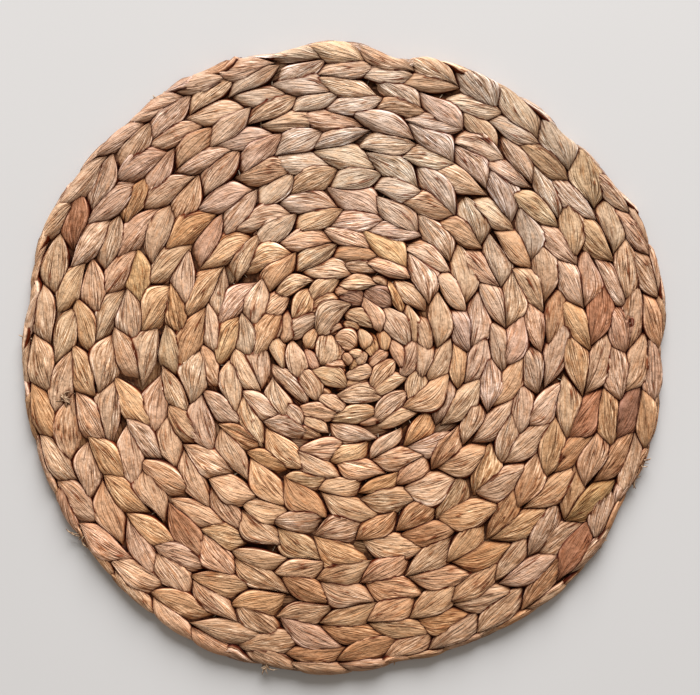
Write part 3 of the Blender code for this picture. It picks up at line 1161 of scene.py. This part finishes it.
def stem_light(nodes, textures):
    """How light fibres, hairs and blotches make a stem, around 1."""
    light = nodes.ramp(textures["blotches"], 0.32, 0.68, 0.84, 1.16, smooth=False)
    fibrous = nodes.ramp(textures["fibrous"], 0.42, 0.58, 0.30, 1.30)
    for name, strength in (("hairs", 2.2), ("fibres", 1.8)):
        part = nodes.math("MULTIPLY", nodes.math("SUBTRACT", textures[name], 0.5), strength)
        light = nodes.math("MULTIPLY", nodes.math("MULTIPLY_ADD", part, fibrous, 1.0), light)
    return light


def stem_surface(nodes, textures, crease, wrinkle):
    """Colour of a stem's surface: its tint, fibres and pores, with painted shade in its creases and
    wrinkles.
    """
    light = stem_light(nodes, textures)
    shares = [nodes.math("POWER", light, power) for power in FIBRE_POWERS]
    fibre_tint = nodes.add("ShaderNodeCombineColor", dict(zip(("Red", "Green", "Blue"), shares)))
    base = nodes.mix(1.0, nodes.attribute("tint", "Color"), fibre_tint.outputs[0], "MULTIPLY")
    base = nodes.tinted(base, nodes.ramp(textures["warmth"], 0.50, 0.70, 0.0, 0.6), WARM)
    # Painted shade in the creases. The pores below take the same darker colour as real specks.
    dark = nodes.mix(1.0, base, colour(CREASE_SHADE_AND_PORES), "MULTIPLY")
    base = nodes.mix(nodes.math("MULTIPLY", crease, 0.9), base, dark)
    # Painted shade in the wrinkles.
    base = nodes.tinted(base, nodes.math("MULTIPLY", wrinkle, 0.75), WRINKLE_SHADE)
    return nodes.mix(nodes.ramp(textures["pores"], 0.66, 0.75, 0.0, 0.6), base, dark)


def stem_shade(nodes, base):
    """The stem's colour with painted highlights on its crests and near its edges, and painted shade on its
    lower parts, along its rolled edges, where it lies over other loops, and in crevices and hollows.
    """
    depth = nodes.attribute("depth", "Fac")
    edge = nodes.attribute("edge", "Fac")
    clear = nodes.math("ABSOLUTE", nodes.attribute("clear", "Fac"))
    # Painted highlight on the crests, which stand above the blurred surface, and in a band just inside
    # each edge.
    base = nodes.tinted(base, nodes.ramp(depth, -0.2, -1.2, smooth=False), CREST_HIGHLIGHT)
    edge_highlight_share = nodes.math("MULTIPLY", nodes.ramp(edge, 0.68, 0.78), nodes.ramp(edge, 0.87, 0.83))
    base = nodes.tinted(base, edge_highlight_share, EDGE_HIGHLIGHT)
    # Painted shade on the parts that lie below the blurred surface, darkest on the deepest.
    base = nodes.tinted(base, nodes.ramp(depth, 0.2, 1.6, smooth=False), LOW_SHADE)
    base = nodes.tinted(base, nodes.ramp(depth, 1.1, 2.8, smooth=False), DEEP_SHADE)
    # Painted shade along each loop's rolled-down edge, partly its own browner edge colour, and where it
    # lies just over another loop.
    shaded_colour = nodes.mix(1.0, base, colour(CREVICE_SHADE), "MULTIPLY")
    base = nodes.mix(nodes.ramp(edge, 0.845, 0.915, smooth=False), base, shaded_colour)
    contact_shade = nodes.ramp(clear, 0.16, 0.70, 1.0, 0.0, smooth=False)
    contact_shade = nodes.math("MULTIPLY", contact_shade, nodes.ramp(edge, 0.25, 0.60, 0.35, 1.0))
    base = nodes.mix(contact_shade, base, shaded_colour)
    # Painted shade in hollows and crevices, from how little of the surroundings each point sees.
    for reach, shut, open_to, factors in ((HOLLOW_REACH, 0.30, 0.80, HOLLOW_SHADE),
                                          (CREVICE_REACH, 0.62, 0.98, CREVICE_SHADE)):
        light = nodes.add("ShaderNodeAmbientOcclusion", {"Distance": reach}, samples=SHADE_SAMPLES)
        shut_in = nodes.ramp(light.outputs["AO"], shut, open_to, 1.0, 0.0, smooth=False)
        base = nodes.tinted(base, shut_in, factors)
    return base


def stem_material(name):
    """Flattened dried stem: fine fibres and creases along it, blotches, and painted shade in the crevices.
    """
    nodes = Nodes(name)
    stem = nodes.attribute("stem", "Vector")
    textures = {key: nodes.noise(stem, (along, across, 1.0), detail, roughness)
                for key, (along, across, detail, roughness) in STEM_TEXTURES.items()}
    crease = near_middle(nodes, textures["lines"], 0.004, 0.028)
    crease = nodes.math("MULTIPLY", crease, nodes.ramp(textures["creased"], 0.47, 0.60))
    groove = near_middle(nodes, textures["lines"], 0.0, 0.08)
    wrinkle = near_middle(nodes, textures["wrinkles"], 0.008, 0.055)
    wrinkle = nodes.math("MULTIPLY", wrinkle, nodes.ramp(textures["wrinkled"], 0.48, 0.60))
    height = 0.0
    for part, share in ((textures["fibres"], 0.40), (textures["hairs"], 0.3), (wrinkle, -0.25),
                        (crease, -0.5), (groove, -0.3), (textures["dents"], 1.5)):
        height = nodes.math("MULTIPLY_ADD", part, share, height)
    base = stem_shade(nodes, stem_surface(nodes, textures, crease, wrinkle))
    roughness = nodes.ramp(textures["fibres"], 0.3, 0.7, 0.62, 0.50, smooth=False)
    nodes.shader.inputs["Specular IOR Level"].default_value = STEM_SPECULAR
    return nodes.surface(base, roughness, height, 1.0 * MM)


def inner_material():
    """Dull stems inside the plait, coloured dark as painted shade for the shadow they lie in."""
    nodes = Nodes("inner_stem")
    place = nodes.add("ShaderNodeTexCoord").outputs["Object"]
    fibres = nodes.noise(place, (420.0, 420.0, 60.0), detail=3.0)
    light = nodes.mix(nodes.ramp(fibres, 0.3, 0.7), colour((0.022, 0.007, 0.003)),
                      colour((0.085, 0.032, 0.013)))
    nodes.shader.inputs["Specular IOR Level"].default_value = STEM_SPECULAR
    return nodes.surface(light, 0.85, fibres, 0.5 * MM)


def thread_material():
    """Pale two-ply sewing thread, darker between its plies as painted shade in the grooves there."""
    nodes = Nodes("sewing_thread")
    stem = nodes.attribute("stem", "Vector")
    apart = nodes.add("ShaderNodeSeparateXYZ")
    nodes.feed(apart.inputs[0], stem)
    twist = nodes.math("ADD", nodes.math("MULTIPLY", apart.outputs[0], 1.4), apart.outputs[1])
    ply = nodes.math("ABSOLUTE", nodes.math("SINE", nodes.math("MULTIPLY", twist, 2.0 * math.pi)))
    # Painted shade where the plies dip.
    base = nodes.mix(ply, colour((0.24, 0.16, 0.10)), colour((0.62, 0.50, 0.37)))
    return nodes.surface(base, 0.75, ply, 0.15 * MM)


def fray_material():
    """Split ends of stem, pale where they broke."""
    nodes = Nodes("frayed_stem")
    stem = nodes.attribute("stem", "Vector")
    mottle = nodes.noise(stem, (0.6, 2.0, 1.0), detail=2.0)
    base = nodes.mix(nodes.ramp(mottle, 0.35, 0.65), colour((0.16, 0.07, 0.03)),
                     colour((0.60, 0.42, 0.27)))
    return nodes.surface(base, 0.7, mottle, 0.2 * MM)


def floor_material():
    nodes = Nodes("pale_floor")
    place = nodes.add("ShaderNodeTexCoord").outputs["Object"]
    cloud = nodes.noise(place, (3.0, 3.0, 3.0))
    shade = nodes.ramp(cloud, 0.3, 0.7, 0.60, 0.615, smooth=False)
    mixed = nodes.add("ShaderNodeCombineColor",
                      {"Red": shade, "Green": nodes.math("MULTIPLY", shade, 0.99),
                       "Blue": nodes.math("MULTIPLY", shade, 1.005)})
    return nodes.surface(mixed.outputs[0], 0.7)


# ---- stage, light, camera

def make_floor(box):
    low, high = box
    bpy.ops.mesh.primitive_plane_add(size=FLOOR_SIZE, location=(0.0, 0.0, low[2] - FLOOR_BELOW))
    floor = bpy.context.object
    floor.name = "floor"
    floor.data.materials.append(floor_material())


def make_lights():
    """One wide soft light, like a window at the top of the picture, and the room's own light."""
    data = bpy.data.lights.new("window", "AREA")
    data.shape = "DISK"
    data.size = WINDOW_SIZE
    data.energy = WINDOW_WATTS
    data.color = WINDOW_COLOUR
    light = bpy.data.objects.new("window", data)
    light.location = WINDOW_PLACE
    light.rotation_euler = (-Vector(WINDOW_PLACE)).to_track_quat("-Z", "Y").to_euler()
    bpy.context.scene.collection.objects.link(light)
    world = bpy.data.worlds.new("room")
    world.use_nodes = True
    background = world.node_tree.nodes["Background"]
    background.inputs["Color"].default_value = colour(ROOM_COLOUR)
    background.inputs["Strength"].default_value = ROOM_STRENGTH
    bpy.context.scene.world = world
    bpy.context.scene.view_settings.view_transform = "Standard"


def make_camera(box):
    low, high = box
    aim = Vector((CAMERA_AIM[0], CAMERA_AIM[1], high[2]))
    away = Vector((0.0, -math.sin(CAMERA_TILT), math.cos(CAMERA_TILT)))
    data = bpy.data.cameras.new("camera")
    data.sensor_width = SENSOR_WIDTH
    data.lens = SENSOR_WIDTH * CAMERA_DISTANCE / VIEW_WIDTH
    camera = bpy.data.objects.new("camera", data)
    camera.location = aim + away * CAMERA_DISTANCE
    camera.rotation_euler = (CAMERA_TILT, 0.0, 0.0)
    bpy.context.scene.collection.objects.link(camera)
    bpy.context.scene.camera = camera


# ---- the mat

# Each piece of the upper face holds the loops up to this winding, in turns.
TOP_PIECES = (("turn_rim", 1.0), ("turn_second", 2.0), ("turn_third", 3.0),
              ("turns_middle", 5.0), ("turns_centre", 99.0))
UNDER_PIECES = (("underside_outer", 2.5), ("underside_inner", 99.0))
HALF_A_LOOP = 0.5


def top_fillings(rng, face, heights, overlaps, material):
    """The lower layer of stems in the gaps of the top, and the slivers along its rim."""
    hidden = plaited_loops(rng, face, HIDDEN_GRID, HALF_A_LOOP, HIDDEN_SUNK)
    tint_loops(rng, hidden)
    for loop in hidden:
        # Painted shade: the lower layer's colour is darkened for the gaps it lies in.
        loop.tint = loop.tint * HIDDEN_SHADE
        press_under(loop, overlaps)
    slivers = rim_slivers(rng, face, SLIVER_GRID)
    tint_loops(rng, slivers)
    return [loops_object("hidden_stems", hidden, heights, material),
            loops_object("rim_slivers", slivers, heights, material)]


def make_face(rng, face, grid, pieces, material):
    """The pieces of one face. The underside's loops lie half a loop on from the top's."""
    on_top = face.side > 0
    loops = plaited_loops(rng, face, grid, 0.0 if on_top else HALF_A_LOOP)
    loops += centre_loops(rng, face, grid)
    if on_top:
        colour_accents(loops)
    tint_loops(rng, loops)
    heights = HeightMap([loop.grid["flat"] for loop in loops])
    overlaps = Overlaps(loops)
    for number, loop in enumerate(loops):
        loop.grid["clear"] = overlaps.clear(number, loop.grid["flat"])
    made = top_fillings(rng, face, heights, overlaps, material) if on_top else []
    first = -1.0
    for name, last in pieces:
        chosen = [loop for loop in loops if first <= loop.winding / 360.0 < last]
        made.append(loops_object(name, chosen, heights, material))
        first = last
    return made


def settle(piece):
    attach(piece, BODY)
    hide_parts(MAT)


def main():
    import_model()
    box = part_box(MAT)
    rng = np.random.default_rng(SEED)
    stem = stem_material("dried_stem")
    upper, under = Face(box, 1), Face(box, -1)
    pieces = make_face(rng, upper, TOP_GRID, TOP_PIECES, stem)
    pieces += make_face(rng, under, UNDER_GRID, UNDER_PIECES, stem)
    stitches = seam_stitches(rng, upper) + seam_stitches(rng, under)
    thread = tubes_object("sewing_thread", stitches, [STITCH_RADIUS] * len(stitches),
                          thread_material(), sides=4)
    pieces.append(thread)
    routes, radii = frayed_fibres(rng, upper)
    pieces.append(tubes_object("frayed_fibres", routes, radii, fray_material()))
    web = inner_strands(upper, inner_material())
    for piece in [web, *pieces]:
        settle(piece)
    make_floor(box)
    make_lights()
    make_camera(box)


main()
